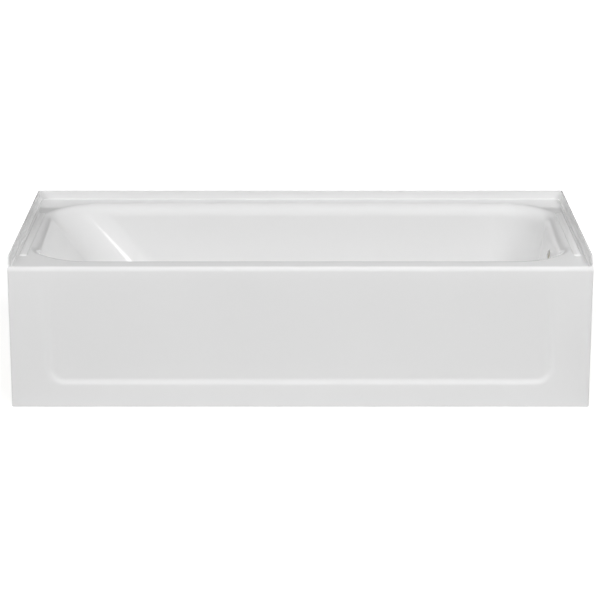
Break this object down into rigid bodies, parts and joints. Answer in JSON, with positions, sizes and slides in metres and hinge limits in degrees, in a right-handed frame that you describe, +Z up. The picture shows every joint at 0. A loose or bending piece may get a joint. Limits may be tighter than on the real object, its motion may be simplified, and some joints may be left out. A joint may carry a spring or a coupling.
{
  "type": "alcove bathtub",
  "caption": "Alcove bathtub with integral recessed apron, three-sided tiling flange, sloped backrest, waste and overflow holes, and screw-adjustable levelling feet.",
  "frame": {"origin": "on the bathroom floor, under the middle of the tub's outline", "axes": "+X along the tub to the drain end, -Y the apron, +Y the long alcove wall, +Z up"},
  "size_m": [1.524, 0.762, 0.4064],
  "materials": {
    "white_acrylic": "high gloss white",
    "glass_fibre": "rough laid glass fibre in clear resin",
    "particle_board": "resin-sealed board",
    "softwood": "planed softwood",
    "galvanised_steel": "galvanised sheet",
    "plated_thread": "zinc-plated thread and nuts",
    "grey_polymer": "moulded dark polymer"
  },
  "bodies": {
    "tub": {"tub_shell": "white_acrylic", "apron_panel": "white_acrylic", "basin_laminate": "glass_fibre", "apron_laminate": "glass_fibre", "base_board": "particle_board", "apron_rail": "softwood", "deck_batten_front": "softwood", "deck_batten_back": "softwood", "deck_batten_head": "softwood", "deck_batten_drain": "softwood", "apron_rib_1": "softwood", "apron_rib_2": "softwood", "apron_rib_3": "softwood", "leg_bar_head": "galvanised_steel", "leg_bar_drain": "galvanised_steel", "apron_bracket_head": "galvanised_steel", "apron_bracket_drain": "galvanised_steel", "lock_nuts_head_front": "plated_thread", "lock_nuts_head_back": "plated_thread", "lock_nuts_drain_front": "plated_thread", "lock_nuts_drain_back": "plated_thread"},
    "foot_head_front": {"foot_pad_head_front": "grey_polymer", "foot_stud_head_front": "plated_thread"},
    "foot_head_back": {"foot_pad_head_back": "grey_polymer", "foot_stud_head_back": "plated_thread"},
    "foot_drain_front": {"foot_pad_drain_front": "grey_polymer", "foot_stud_drain_front": "plated_thread"},
    "foot_drain_back": {"foot_pad_drain_back": "grey_polymer", "foot_stud_drain_back": "plated_thread"}
  },
  "joints": [
    {"name": "foot_head_front_height", "type": "slide", "parent": "tub", "child": "foot_head_front", "axis": [0, 0, -1], "range_m": [-0.015, 0.012]},
    {"name": "foot_head_back_height", "type": "slide", "parent": "tub", "child": "foot_head_back", "axis": [0, 0, -1], "range_m": [-0.015, 0.012]},
    {"name": "foot_drain_front_height", "type": "slide", "parent": "tub", "child": "foot_drain_front", "axis": [0, 0, -1], "range_m": [-0.015, 0.012]},
    {"name": "foot_drain_back_height", "type": "slide", "parent": "tub", "child": "foot_drain_back", "axis": [0, 0, -1], "range_m": [-0.015, 0.012]}
  ]
}
